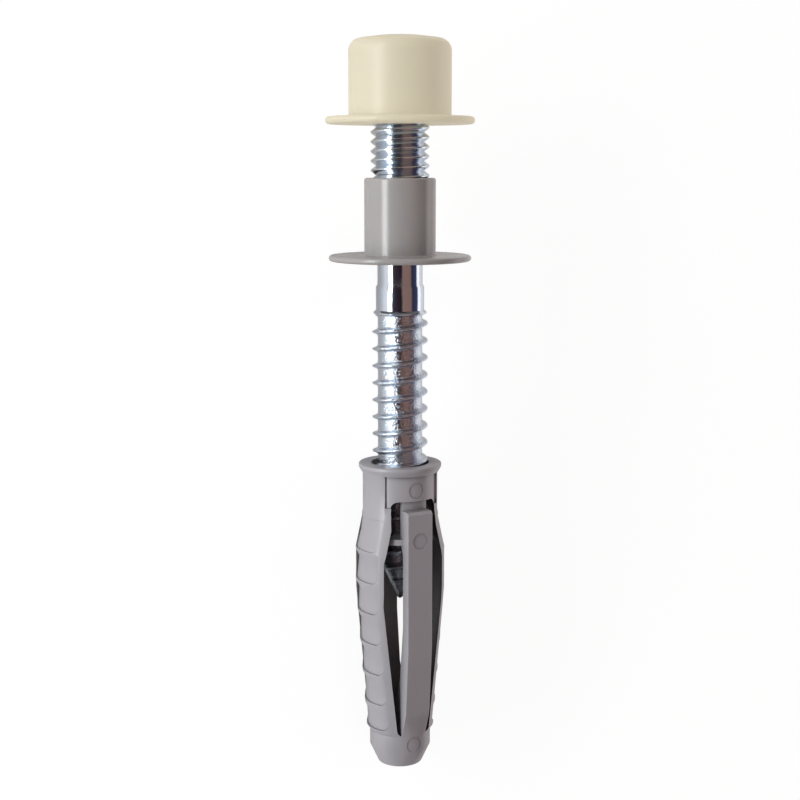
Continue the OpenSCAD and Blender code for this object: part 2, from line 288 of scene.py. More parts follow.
def helical_ridge(section, start, turns, pitch, sides, fade, far_fade):
    """A closed ridge wound up the Z axis from a section given as radius and height."""
    bm = bmesh.new()
    face = outline_face(bm, [(r, z + start) for r, z in section])
    core = min(r for r, _ in section)
    steps = int(round(turns * sides))
    bmesh.ops.spin(
        bm, geom=list(face.verts) + list(face.edges) + [face], cent=(0, 0, 0), axis=(0, 0, 1),
        dvec=(0, 0, pitch / sides), angle=2 * math.pi * steps / sides, steps=steps,
        use_merge=False, use_duplicate=False,
    )
    open_edges = [e for e in bm.edges if e.is_boundary]
    if open_edges:
        bmesh.ops.holes_fill(bm, edges=open_edges, sides=0)
    end = start + turns * pitch
    for vert in bm.verts:
        radius = Vector((vert.co.x, vert.co.y)).length
        part = (math.atan2(vert.co.y, vert.co.x) / (2 * math.pi)) % 1.0
        middle = start + pitch * (part + round((vert.co.z - start) / pitch - part))
        share = max(0.0, min(1.0, (middle - start) / fade, (end - middle) / far_fade))
        wanted = core + (radius - core) * share
        vert.co.x *= wanted / radius
        vert.co.y *= wanted / radius
    bmesh.ops.recalc_face_normals(bm, faces=list(bm.faces))
    return bm


def join_into(bm, other):
    """Adds a copy of one mesh to another."""
    mesh = bpy.data.meshes.new("joined")
    other.to_mesh(mesh)
    other.free()
    bm.from_mesh(mesh)
    bpy.data.meshes.remove(mesh)


# Material helpers
def new_material(name):
    """A node material, its nodes and links, and its Principled BSDF."""
    material = bpy.data.materials.new(name)
    material.use_nodes = True
    nodes = material.node_tree.nodes
    return material, nodes, material.node_tree.links, nodes["Principled BSDF"]


def mottle_group():
    """Node group: slow cloudy colour change with fine grain, as a colour, a mask and a height."""
    name = "Moulded Mottle"
    if name in bpy.data.node_groups:
        return bpy.data.node_groups[name]
    group = bpy.data.node_groups.new(name, "ShaderNodeTree")
    face = group.interface
    for socket, kind, default in (
        ("Light", "NodeSocketColor", (1, 1, 1, 1)), ("Dark", "NodeSocketColor", (0, 0, 0, 1)),
        ("Cloud Scale", "NodeSocketFloat", 120.0), ("Grain Scale", "NodeSocketFloat", 2500.0),
    ):
        face.new_socket(name=socket, in_out="INPUT", socket_type=kind).default_value = default
    face.new_socket(name="Colour", in_out="OUTPUT", socket_type="NodeSocketColor")
    face.new_socket(name="Cloud", in_out="OUTPUT", socket_type="NodeSocketFloat")
    face.new_socket(name="Grain", in_out="OUTPUT", socket_type="NodeSocketFloat")
    nodes, links = group.nodes, group.links
    entry = nodes.new("NodeGroupInput")
    leave = nodes.new("NodeGroupOutput")
    coords = nodes.new("ShaderNodeTexCoord")
    cloud = nodes.new("ShaderNodeTexNoise")
    cloud.inputs["Detail"].default_value = 4.0
    grain = nodes.new("ShaderNodeTexNoise")
    grain.inputs["Detail"].default_value = 2.0
    mix = nodes.new("ShaderNodeMix")
    mix.data_type = "RGBA"
    for noise, scale in ((cloud, "Cloud Scale"), (grain, "Grain Scale")):
        links.new(coords.outputs["Object"], noise.inputs["Vector"])
        links.new(entry.outputs[scale], noise.inputs["Scale"])
    links.new(cloud.outputs["Fac"], mix.inputs["Factor"])
    links.new(entry.outputs["Dark"], mix.inputs["A"])
    links.new(entry.outputs["Light"], mix.inputs["B"])
    links.new(mix.outputs["Result"], leave.inputs["Colour"])
    links.new(cloud.outputs["Fac"], leave.inputs["Cloud"])
    links.new(grain.outputs["Fac"], leave.inputs["Grain"])
    return group


def slot_shade_mask_group():
    """A mask of the slots' walls, which look sideways towards the fixing's axis, for the painted shade
    that darkens them.
    """
    if "Inward faces" in bpy.data.node_groups:
        return bpy.data.node_groups["Inward faces"]
    group = bpy.data.node_groups.new("Inward faces", "ShaderNodeTree")
    group.interface.new_socket("Mask", in_out="OUTPUT", socket_type="NodeSocketFloat")
    nodes, links = group.nodes, group.links
    coords = nodes.new("ShaderNodeTexCoord")

    def vector_math(operation, *values):
        node = nodes.new("ShaderNodeVectorMath")
        node.operation = operation
        for socket, value in zip(node.inputs, values):
            if isinstance(value, bpy.types.NodeSocket):
                links.new(value, socket)
            else:
                socket.default_value = value
        return node

    place = vector_math("SUBTRACT", coords.outputs["Object"], MOUTH).outputs["Vector"]
    along = vector_math("DOT_PRODUCT", place, AXIS).outputs["Value"]
    foot = vector_math("SCALE", tuple(AXIS))
    links.new(along, foot.inputs["Scale"])
    radial = vector_math("SUBTRACT", place, foot.outputs["Vector"]).outputs["Vector"]
    reach = vector_math("LENGTH", radial).outputs["Value"]
    outward = vector_math("NORMALIZE", radial).outputs["Vector"]
    sideways = vector_math("MULTIPLY", coords.outputs["Normal"], (1, 0, 0)).outputs["Vector"]
    facing = vector_math("DOT_PRODUCT", outward, sideways).outputs["Value"]
    inward_shade = nodes.new("ShaderNodeMapRange")
    inward_shade.inputs["From Min"].default_value = -0.1
    inward_shade.inputs["From Max"].default_value = -0.4
    outside = nodes.new("ShaderNodeMapRange")
    outside.inputs["From Min"].default_value = 0.0040
    outside.inputs["From Max"].default_value = 0.0045
    below = nodes.new("ShaderNodeMapRange")
    below.inputs["From Min"].default_value = -0.0046
    below.inputs["From Max"].default_value = -0.0052
    both = nodes.new("ShaderNodeMath")
    both.operation = "MULTIPLY"
    every = nodes.new("ShaderNodeMath")
    every.operation = "MULTIPLY"
    out = nodes.new("NodeGroupOutput")
    links.new(facing, inward_shade.inputs["Value"])
    links.new(reach, outside.inputs["Value"])
    links.new(inward_shade.outputs["Result"], both.inputs[0])
    links.new(outside.outputs["Result"], both.inputs[1])
    links.new(along, below.inputs["Value"])
    links.new(both.outputs["Value"], every.inputs[0])
    links.new(below.outputs["Result"], every.inputs[1])
    links.new(every.outputs["Value"], out.inputs["Mask"])
    return group


def nylon(name, tint, spread, roughness, grain, subsurface, crevice_shade=0.2, glow=0.0, inward_shade=1.0):
    """Moulded nylon: cloudy tint, fine grain and a soft gloss, with painted shade that darkens its
    creases, painted shade on the slots' walls where asked, and an optional painted glow.
    """
    material, nodes, links, shader = new_material(name)
    mottle = nodes.new("ShaderNodeGroup")
    mottle.node_tree = mottle_group()
    mottle.inputs["Light"].default_value = (*[min(1.0, c * (1 + spread)) for c in tint], 1)
    mottle.inputs["Dark"].default_value = (*[c * (1 - spread) for c in tint], 1)
    rough = nodes.new("ShaderNodeMapRange")
    rough.inputs["To Min"].default_value = roughness - 0.05
    rough.inputs["To Max"].default_value = roughness + 0.07
    bump = nodes.new("ShaderNodeBump")
    bump.inputs["Strength"].default_value = grain
    bump.inputs["Distance"].default_value = 0.00002
    # Painted shade: ambient occlusion multiplies the base colour darker in creases and recesses, down
    # to the crevice factor.
    hidden = nodes.new("ShaderNodeAmbientOcclusion")
    hidden.samples = 8
    hidden.inputs["Distance"].default_value = 0.008
    shade = nodes.new("ShaderNodeMapRange")
    shade.inputs["From Min"].default_value = 0.25
    shade.inputs["From Max"].default_value = 0.85
    shade.inputs["To Min"].default_value = crevice_shade
    darken = nodes.new("ShaderNodeMix")
    darken.data_type = "RGBA"
    darken.blend_type = "MULTIPLY"
    darken.inputs["Factor"].default_value = 1.0
    links.new(hidden.outputs["AO"], shade.inputs["Value"])
    links.new(mottle.outputs["Colour"], darken.inputs["A"])
    # Painted shade: the slots' walls, picked out by the mask, are darkened further, down to the given
    # factor.
    if inward_shade < 1.0:
        mask = nodes.new("ShaderNodeGroup")
        mask.node_tree = slot_shade_mask_group()
        dim = nodes.new("ShaderNodeMapRange")
        dim.inputs["To Min"].default_value = 1.0
        dim.inputs["To Max"].default_value = inward_shade
        joined = nodes.new("ShaderNodeMath")
        joined.operation = "MULTIPLY"
        links.new(mask.outputs["Mask"], dim.inputs["Value"])
        links.new(dim.outputs["Result"], joined.inputs[0])
        links.new(shade.outputs["Result"], joined.inputs[1])
        links.new(joined.outputs["Value"], darken.inputs["B"])
    else:
        links.new(shade.outputs["Result"], darken.inputs["B"])
    links.new(darken.outputs["Result"], shader.inputs["Base Color"])
    links.new(mottle.outputs["Cloud"], rough.inputs["Value"])
    links.new(rough.outputs["Result"], shader.inputs["Roughness"])
    links.new(mottle.outputs["Grain"], bump.inputs["Height"])
    links.new(bump.outputs["Normal"], shader.inputs["Normal"])
    shader.inputs["IOR"].default_value = 1.53
    shader.inputs["Subsurface Weight"].default_value = subsurface
    shader.inputs["Subsurface Radius"].default_value = (1.0, 0.8, 0.5)
    shader.inputs["Subsurface Scale"].default_value = 0.0012
    # Painted glow: a weak emission in the nylon's tint brightens it evenly, standing in for light
    # carried through the cream nylon; the translucent share beside it is a real shader.
    if glow:
        shader.inputs["Emission Color"].default_value = (*tint, 1)
        shader.inputs["Emission Strength"].default_value = 0.64
        through = nodes.new("ShaderNodeBsdfTranslucent")
        blend = nodes.new("ShaderNodeMixShader")
        blend.inputs["Fac"].default_value = glow
        links.new(mottle.outputs["Colour"], through.inputs["Color"])
        links.new(bump.outputs["Normal"], through.inputs["Normal"])
        links.new(shader.outputs["BSDF"], blend.inputs[1])
        links.new(through.outputs["BSDF"], blend.inputs[2])
        links.new(blend.outputs["Shader"], nodes["Material Output"].inputs["Surface"])
    return material


def zinc_plate(tint, rough_below, dull_above):
    """Bright zinc plate: faint tints, pitted on the wood-screw thread, dull on the other."""
    material, nodes, links, shader = new_material("Zinc plated steel")
    mottle = nodes.new("ShaderNodeGroup")
    mottle.node_tree = mottle_group()
    mottle.inputs["Light"].default_value = (tint[0] * 0.9, tint[1] * 1.0, tint[2] * 1.1, 1)
    mottle.inputs["Dark"].default_value = (tint[0] * 1.0, tint[1] * 0.93, tint[2] * 0.9, 1)
    mottle.inputs["Cloud Scale"].default_value = 420.0
    mottle.inputs["Grain Scale"].default_value = 4500.0
    rough = nodes.new("ShaderNodeMapRange")
    rough.inputs["To Min"].default_value = 0.06
    rough.inputs["To Max"].default_value = 0.17
    coords = nodes.new("ShaderNodeTexCoord")
    split = nodes.new("ShaderNodeSeparateXYZ")
    rolled = nodes.new("ShaderNodeMapRange")
    rolled.inputs["From Min"].default_value = rough_below
    rolled.inputs["From Max"].default_value = rough_below - 0.0008
    rolled.inputs["To Min"].default_value = 0.06
    rolled.inputs["To Max"].default_value = 1.0
    bump = nodes.new("ShaderNodeBump")
    bump.inputs["Distance"].default_value = 0.0001
    links.new(coords.outputs["Object"], split.inputs["Vector"])
    links.new(split.outputs["Y"], rolled.inputs["Value"])
    links.new(rolled.outputs["Result"], bump.inputs["Strength"])
    links.new(mottle.outputs["Colour"], shader.inputs["Base Color"])
    dull = nodes.new("ShaderNodeMapRange")
    dull.inputs["From Min"].default_value = dull_above
    dull.inputs["From Max"].default_value = dull_above + 0.0006
    dull.inputs["To Max"].default_value = 0.09
    total = nodes.new("ShaderNodeMath")
    total.operation = "ADD"
    links.new(split.outputs["Y"], dull.inputs["Value"])
    links.new(mottle.outputs["Cloud"], rough.inputs["Value"])
    links.new(rough.outputs["Result"], total.inputs[0])
    links.new(dull.outputs["Result"], total.inputs[1])
    links.new(total.outputs["Value"], shader.inputs["Roughness"])
    links.new(mottle.outputs["Grain"], bump.inputs["Height"])
    links.new(bump.outputs["Normal"], shader.inputs["Normal"])
    shader.inputs["Metallic"].default_value = 1.0
    return material


# Wall plug, in millimetres below its mouth and from its axis
STRIP_TOP = 6.4
FLARE = 7.2
RIB_TAPER = 17.5
RIB_LEDGE = 0.2
RIB_FALL_H = 1.3
SCALE_HALF = 3.25
SCALE_ROUND = 1.0
SCALE_END = 37.1
TIP_CONE = 2.6
SLOT_TOP_HALF = 3.3
SLOT_END_HALF = 2.4
SLOT_ROUND = 0.9
PANEL_TOP = 1.15
PANEL_HALF = 2.25
PANEL_SPLAY = 1.45
PANEL_R = 4.8
BEVEL_TURN = 38
CHANNEL_FLAT = 27
CHANNEL_END = 36.5
CHANNEL_END_R = 1.6
TONGUE_TOP = 5.9
TONGUE_FLAT = 25
TONGUE_LOW = 34
TONGUE_LOW_R = 5.2
TONGUE_IN_R = 4.3
WEB_R = 4.45
BRIDGE = 10.2
MARK_R = 1.1
MARK_DEPTH = 0.1


def crest(size, depth):
    """Radius of the ribs' crests at a depth."""
    if depth <= RIB_TAPER:
        return size.rib
    last = size.rib_first + (size.rib_count - 1) * size.rib_pitch
    return size.rib - (size.rib - size.rib_end) * (depth - RIB_TAPER) / (last - RIB_TAPER)


def plug_core(size):
    """The plug's smooth barrel, before anything is cut."""
    neck, grow = size.neck, size.rib - size.neck
    return turned([
        (0, 0), (size.lip, 0), (size.lip, -0.5), (neck, -1.4), (neck, -STRIP_TOP),
        (neck + 0.4 * grow, -STRIP_TOP - 2.2), (neck + 0.72 * grow, -STRIP_TOP - 3.9),
        (size.rib, -size.rib_first - 0.1), (size.rib, -RIB_TAPER),
        (crest(size, SCALE_END + 0.15), -SCALE_END - 0.15), (size.nose, -size.slot_end - 0.2),
        (size.nose, TIP_CONE - size.height), (size.tip, -size.height), (0, -size.height),
    ], rounds=[((size.lip, 0), 0.2), ((size.lip, -0.5), 0.15), ((size.tip, -size.height), 0.25)])


def scale_window(profile, top, foot):
    """One hollow of the ribbed legs: a ring, kept only between the smooth strips."""
    half, bend = SCALE_HALF, SCALE_ROUND
    window = [(-half, 1 - top), (-half, bend + 0.2 - foot)]
    window += arc(bend - half, bend - foot, bend, 180, 262)
    window += [(bend - half, -1 - foot), (half - bend, -1 - foot)]
    window += arc(half - bend, bend - foot, bend, -82, 0)
    window += [(half, bend + 0.2 - foot), (half, 1 - top)]
    return carve(turned(profile), slab(window, 16, 90), "INTERSECT")


def plug_scales(size):
    """All hollows that leave the legs' scales standing."""
    neck = size.neck
    cutter = scale_window([
        (8, -FLARE), (neck, -FLARE), (neck + 0.13, -FLARE - 1), (neck + 0.26, -FLARE - 2.2),
        (neck + 0.52, -FLARE - 3.3), (size.rib - RIB_LEDGE, -size.rib_first),
        (8, -size.rib_first),
    ], FLARE, size.rib_first)
    for index in range(size.rib_count):
        top = size.rib_first + index * size.rib_pitch
        foot = min(top + size.rib_pitch, SCALE_END)
        fall = size.rib_fall * (0.7 if index == size.rib_count - 1 else 1.0)
        join_into(cutter, scale_window([
            (8, -top - 0.08), (crest(size, top) + 0.12, -top - 0.08),
            (crest(size, top) - fall, -top - RIB_FALL_H), (crest(size, foot) - RIB_LEDGE, -foot),
            (8, -foot),
        ], top, foot))
    return cutter


def plug_slots(size):
    """The slot through the plug and the bevels on the legs' edges."""
    half, top, end, bend = SLOT_TOP_HALF, -size.slot_top, -size.slot_end, SLOT_ROUND
    wide = size.slot_half
    slot = slab(
        arc(bend - half, top - bend, bend, 180, 90) + arc(half - bend, top - bend, bend, 90, 0)
        + [(half + 0.15, -8.5), (wide, -13), (wide, -19)]
        + arc(SLOT_END_HALF - 0.7, end + 0.8, 0.8, 0, -90)
        + arc(0.7 - SLOT_END_HALF, end + 0.8, 0.8, -90, -180)
        + [(-wide, -19), (-wide, -13), (-half - 0.15, -8.5)], 20)
    edge = [
        (0.969 * size.neck, -PANEL_TOP - 0.15), (9, -PANEL_TOP - 0.15), (9, end - 0.6),
        (0.975 * crest(size, size.slot_end), end - 0.6), (0.948 * size.rib, 0.3 - RIB_TAPER),
        (0.948 * size.rib, -size.rib_first - 0.4), (0.969 * size.neck, 0.3 - STRIP_TOP),
    ]
    turns = [side + turn for side in (90, -90) for turn in (-BEVEL_TURN, BEVEL_TURN)]
    return [slot] + [slab(edge, 7, turn) for turn in turns]


def plug_panels(size):
    """The recess in the neck above each slot."""
    low = -size.slot_top - 0.9
    ring = turned([(PANEL_R, low), (7, low), (7, -PANEL_TOP), (PANEL_R, -PANEL_TOP)])
    near, far = PANEL_HALF, PANEL_HALF + 6 * PANEL_SPLAY
    wedge = slab([
        (near, 2), (far, 8), (-far, 8), (-near, 2), (-near, -2), (-far, -8), (far, -8), (near, -2),
    ], 16)
    bmesh.ops.rotate(
        wedge, cent=(0, 0, 0), matrix=Matrix.Rotation(math.pi / 2, 3, "X"),
        verts=list(wedge.verts),
    )
    return carve(ring, wedge, "INTERSECT")


def plug_tongue(size, side):
    """One tongue, the web that holds its free end and its two small bridges."""
    nose, end = size.nose, -size.slot_end
    bar = slab([
        (2.6, -TONGUE_TOP), (size.tongue_face - 0.35, -TONGUE_TOP),
        (size.tongue_face, -TONGUE_TOP - 0.35), (size.tongue_face, -TONGUE_FLAT),
        (TONGUE_LOW_R, -TONGUE_LOW), (nose, end - 0.8), (nose - 0.6, end - 2),
        (CHANNEL_END_R / 2, end - 2), (CHANNEL_END_R - 0.5, 0.2 - CHANNEL_END),
        (0.8 * TONGUE_IN_R, -29.5), (TONGUE_IN_R, -22), (TONGUE_IN_R, -12),
        (size.channel - 0.35, -10.5), (2.6, 0.8 - BRIDGE),
    ], size.tongue, side)
    bar = carve(bar, turned([
        (0, 1 - TONGUE_TOP), (9, 1 - TONGUE_TOP), (9, -TONGUE_LOW),
        (TONGUE_LOW_R + 0.35, -TONGUE_LOW - 0.3), (nose - 0.15, end - 0.9),
        (nose - 0.4, end - 3), (0, end - 3),
    ]), "INTERSECT")
    web = carve(
        slab([(2.6, -6.2), (6.6, -6.2), (6.6, -4.1), (2.6, -4.1)], size.tongue, side),
        turned([(0, -8), (WEB_R, -8), (WEB_R, 0), (0, 0)]), "INTERSECT")
    low, high = -BRIDGE - 0.4, 0.4 - BRIDGE
    bridge = carve(
        slab([(2.2, low), (6.2, low), (6.2, high), (2.2, high)], 2 * SLOT_TOP_HALF + 0.9, side),
        turned([(0, -15), (4.75, -15), (4.75, -3), (0, -3)]), "INTERSECT")
    return carve(carve(bar, web, "UNION"), bridge, "UNION")


def plug_marks(size):
    """Shallow round moulding marks on the neck, the tongue and the nose."""
    marks = bmesh.new()
    for depth, face, flat in (
        (3.15, PANEL_R, False), (9.9, size.tongue_face, True), (39.2, size.nose, False),
    ):
        disc = bmesh.new()
        near = face - MARK_DEPTH if flat else 2.0
        place = Matrix.Translation((0, -near - 3, -depth)) @ Matrix.Rotation(math.pi / 2, 4, "X")
        bmesh.ops.create_cone(
            disc, cap_ends=True, segments=40, radius1=MARK_R, radius2=MARK_R, depth=6,
            matrix=place,
        )
        if not flat:
            keep, low, high = face - MARK_DEPTH, -depth - 3, 3 - depth
            disc = carve(disc, turned([(0, low), (keep, low), (keep, high), (0, high)]))
        join_into(marks, disc)
    return marks


class FIXING_OT_plug(bpy.types.Operator):
    """Wall plug: a turned barrel with its slots, scales, tongues and channel"""

    bl_idname = "fixing.plug"
    bl_label = "Wall Plug"

    def execute(self, context):
        size = context.scene.fixing_plug
        bm = carve(plug_core(size), plug_panels(size))
        slot, *bevels = plug_slots(size)
        for cutter in (*bevels, plug_scales(size), slot):
            bm = carve(bm, cutter)
        for side in (90, -90):
            bm = carve(bm, plug_tongue(size, side), "UNION")
        bm = carve(bm, turned([
            (0, 1), (size.channel, 1), (size.channel, -CHANNEL_FLAT),
            (CHANNEL_END_R, -CHANNEL_END), (0, -CHANNEL_END - 0.8),
        ]))
        bm = carve(bm, plug_marks(size))
        bmesh.ops.dissolve_limit(
            bm, angle_limit=math.radians(0.4), verts=list(bm.verts), edges=list(bm.edges),
            use_dissolve_boundaries=False,
        )
        # Painted shade: the plug's creases darken down to 0.4 and its slots' walls to a quarter of its
        # grey.
        material = nylon("Grey plug nylon", size.nylon, 0.06, 0.34, size.grain, 0.12, 0.4, inward_shade=0.25)
        piece = finish_piece(bm, "wall_plug_dressed", "wall_plug", "plug", material)
        bevel = piece.modifiers.new("Soft edges", "BEVEL")
        bevel.width = size.edge_round * MM
        bevel.segments = 2
        bevel.limit_method = "ANGLE"
        bevel.angle_limit = SMOOTH_ANGLE
        bevel.harden_normals = False
        return {"FINISHED"}


class FIXING_OT_bolt(bpy.types.Operator):
    """Hanger bolt with both threads wound as ridges on their cores"""

    bl_idname = "fixing.bolt"
    bl_label = "Hanger Bolt"

    def execute(self, context):
        size = context.scene.fixing_bolt
        bm = bmesh.new()
        core = [
            (0.0, -size.tip), (0.35, -size.tip + 0.25),
            (size.coach_core, -size.tip + size.point),
            (size.coach_core, size.coach_end - 0.35), (size.shoulder - 0.06, size.coach_end - 0.12),
            (size.shoulder, size.coach_end), (size.shoulder - 0.06, size.coach_end + 0.12),
            (size.collar, size.coach_end + 0.36),
            (size.collar, size.collar_end - 0.25), (size.shank, size.collar_end + 0.1),
            (size.shank, size.metric_start), (size.metric_root, size.metric_start + 0.3),
            (size.metric_root, size.metric_end - 0.2), (size.metric_root - 0.3, size.metric_end),
            (0.0, size.metric_end),
        ]
        outline_face(bm, core)
        turn_outline(bm, size.sides)
        flank = 0.37
        sunk = size.coach_core - 0.35
        coach = [
            (sunk, -0.62), (size.coach_core + 0.02, -0.55), (size.coach_core + 0.14, -flank),
            (size.coach_outer - 0.07, -0.15), (size.coach_outer, -0.05), (size.coach_outer, 0.05),
            (size.coach_outer - 0.07, 0.15), (size.coach_core + 0.14, flank),
            (size.coach_core + 0.02, 0.55), (sunk, 0.62),
        ]
        start = -size.tip + 1.4
        turns = (size.coach_end + 0.5 - start) / size.coach_pitch
        ridge = helical_ridge(coach, start, turns, size.coach_pitch, size.sides,
                              size.coach_pitch * 0.6, size.coach_pitch * 0.55)
        for vert in ridge.verts:
            share = min(1.0, max(0.05, (vert.co.z + size.tip) / size.point))
            vert.co.x *= share
            vert.co.y *= share
        join_into(bm, ridge)
        half = size.metric_pitch / 2
        metric = [
            (size.metric_root - 0.3, -half), (size.metric_root, -half * 0.99),
            (size.metric_outer - 0.05, -0.13), (size.metric_outer, -0.07),
            (size.metric_outer, 0.07), (size.metric_outer - 0.05, 0.13),
            (size.metric_root, half * 0.99), (size.metric_root - 0.3, half),
        ]
        turns = (size.metric_end - size.metric_start - 2.08) / size.metric_pitch
        join_into(bm, helical_ridge(
            metric, size.metric_start + 1.33, turns, size.metric_pitch, size.sides,
            size.metric_pitch * 0.8, size.metric_pitch * 0.8,
        ))
        finish_piece(bm, "hanger_bolt_dressed", "hanger_bolt", "bolt",
                     zinc_plate(size.zinc, MOUTH.y + size.coach_end * MM,
                                MOUTH.y + size.metric_start * MM))
        return {"FINISHED"}


class FIXING_OT_bush(bpy.types.Operator):
    """Flanged bush turned from its outline"""

    bl_idname = "fixing.bush"
    bl_label = "Flanged Bush"

    def execute(self, context):
        size = context.scene.fixing_bush
        bm = bmesh.new()
        foot, top = size.foot, size.foot + size.height
        face_z = foot + size.flange_thick
        outline_face(bm, [
            (size.bore, foot), (size.flange, foot), (size.flange, face_z),
            (size.sleeve, face_z), (size.sleeve, top), (size.bore, top),
        ])
        rim = size.flange_thick / 2 - 0.01
        round_corner(bm, (size.flange, foot), rim, 6)
        round_corner(bm, (size.flange, face_z), rim, 6)
        round_corner(bm, (size.sleeve, face_z), 0.2, 4)
        round_corner(bm, (size.sleeve, top), 0.3, 5)
        round_corner(bm, (size.bore, top), 0.12, 3)
        round_corner(bm, (size.bore, foot), 0.15, 3)
        turn_outline(bm, 160)
        # Painted shade: the bush's creases are darkened a little, down to 0.8 of its grey.
        finish_piece(bm, "flanged_bush_dressed", "flanged_bush", "bush",
                     nylon("Grey bush nylon", size.nylon, 0.05, 0.2, 0.06, 0.2, 0.8))
        return {"FINISHED"}


class FIXING_OT_cap(bpy.types.Operator):
    """Cap nut turned from its outline, with a blind bore and a slightly domed top"""

    bl_idname = "fixing.cap"
    bl_label = "Cap Nut"

    def execute(self, context):
        size = context.scene.fixing_cap
        bm = bmesh.new()
        foot, top = size.foot, size.foot + size.height
        face_z = foot + size.flange_thick
        bore_z = foot + size.bore_depth
        drop = size.dome - math.sqrt(size.dome ** 2 - size.body ** 2)
        mid = size.body * 0.45
        mid_drop = size.dome - math.sqrt(size.dome ** 2 - mid ** 2)
        outline_face(bm, [
            (size.bore, foot), (size.flange, foot), (size.flange, face_z),
            (size.body, face_z), (size.body, top - drop), (mid, top - mid_drop),
            (0.0, top), (0.0, bore_z), (size.bore, bore_z),
        ])
        rim = size.flange_thick / 2 - 0.01
        round_corner(bm, (size.flange, foot), rim, 6)
        round_corner(bm, (size.flange, face_z), rim, 6)
        round_corner(bm, (size.body, face_z), 0.3, 5)
        round_corner(bm, (size.body, top - drop), size.edge_round, 12)
        round_corner(bm, (size.bore, foot), 0.15, 3)
        turn_outline(bm, 160)
        # Painted glow and painted shade: the cap's nylon glows weakly and its creases darken a little,
        # down to 0.9.
        finish_piece(bm, "cap_nut_dressed", "cap_nut", "cap",
                     nylon("Cream cap nylon", size.nylon, 0.05, 0.36, 0.05, 0.6, 0.9, 0.35))
        return {"FINISHED"}


class FIXING_OT_stage(bpy.types.Operator):
    """Pale floor, soft lamps, surroundings and the camera"""

    bl_idname = "fixing.stage"
    bl_label = "Stage"

    def execute(self, context):
        size = context.scene.fixing_stage
        make_floor(size)
        make_surroundings(context.scene, size)
        make_lamps()
        make_camera(context.scene, size)
        return {"FINISHED"}


def make_floor(size):
    """A pale floor that shows nearly white to the camera and keeps the fixing's shadow."""
    bm = bmesh.new()
    bmesh.ops.create_grid(bm, x_segments=1, y_segments=1, size=size.floor_size / 2)
    mesh = bpy.data.meshes.new("floor")
    bm.to_mesh(mesh)
    bm.free()
    floor = bpy.data.objects.new("floor", mesh)
    bpy.context.scene.collection.objects.link(floor)
    material, nodes, links, shader = new_material("Pale floor")
    shader.inputs["Base Color"].default_value = (*size.white, 1)
    shader.inputs["Roughness"].default_value = 0.9
    shader.inputs["Specular IOR Level"].default_value = 0.0
    glow = nodes.new("ShaderNodeEmission")
    glow.inputs["Color"].default_value = (*size.white, 1)
    glow.inputs["Strength"].default_value = 1.12
    seen = nodes.new("ShaderNodeLightPath")
    coords = nodes.new("ShaderNodeTexCoord")
    split = nodes.new("ShaderNodeSeparateXYZ")
    aside = nodes.new("ShaderNodeMath")
    aside.operation = "ABSOLUTE"
    away = nodes.new("ShaderNodeMapRange")
    away.inputs["From Min"].default_value = 0.008
    away.inputs["From Max"].default_value = 0.03
    far = nodes.new("ShaderNodeMath")
    far.operation = "MULTIPLY"
    either = nodes.new("ShaderNodeMath")
    either.operation = "MAXIMUM"
    share = nodes.new("ShaderNodeMath")
    share.operation = "MULTIPLY"
    share.inputs[1].default_value = size.floor_glow
    mix = nodes.new("ShaderNodeMixShader")
    links.new(seen.outputs["Is Camera Ray"], either.inputs[0])
    links.new(coords.outputs["Object"], split.inputs["Vector"])
    links.new(split.outputs["X"], aside.inputs[0])
    links.new(aside.outputs["Value"], away.inputs["Value"])
    links.new(seen.outputs["Is Glossy Ray"], far.inputs[0])
    links.new(away.outputs["Result"], far.inputs[1])
    links.new(far.outputs["Value"], either.inputs[1])
    links.new(either.outputs["Value"], share.inputs[0])
    links.new(share.outputs["Value"], mix.inputs["Fac"])
    links.new(shader.outputs["BSDF"], mix.inputs[1])
    links.new(glow.outputs["Emission"], mix.inputs[2])
    links.new(mix.outputs["Shader"], nodes["Material Output"].inputs["Surface"])
    mesh.materials.append(material)


# What the metal reflects from left to right: place from 0 to 1, then the colour
ROOM_BANDS = (
    (0.00, (1.30, 1.33, 1.38)), (0.015, (1.25, 1.28, 1.33)), (0.035, (0.05, 0.03, 0.04)),
    (0.33, (0.02, 0.01, 0.016)), (0.38, (0.34, 0.20, 0.16)), (0.72, (0.30, 0.18, 0.15)),
    (0.78, (0.03, 0.03, 0.07)), (0.94, (0.05, 0.06, 0.12)), (0.975, (0.55, 0.57, 0.62)),
)


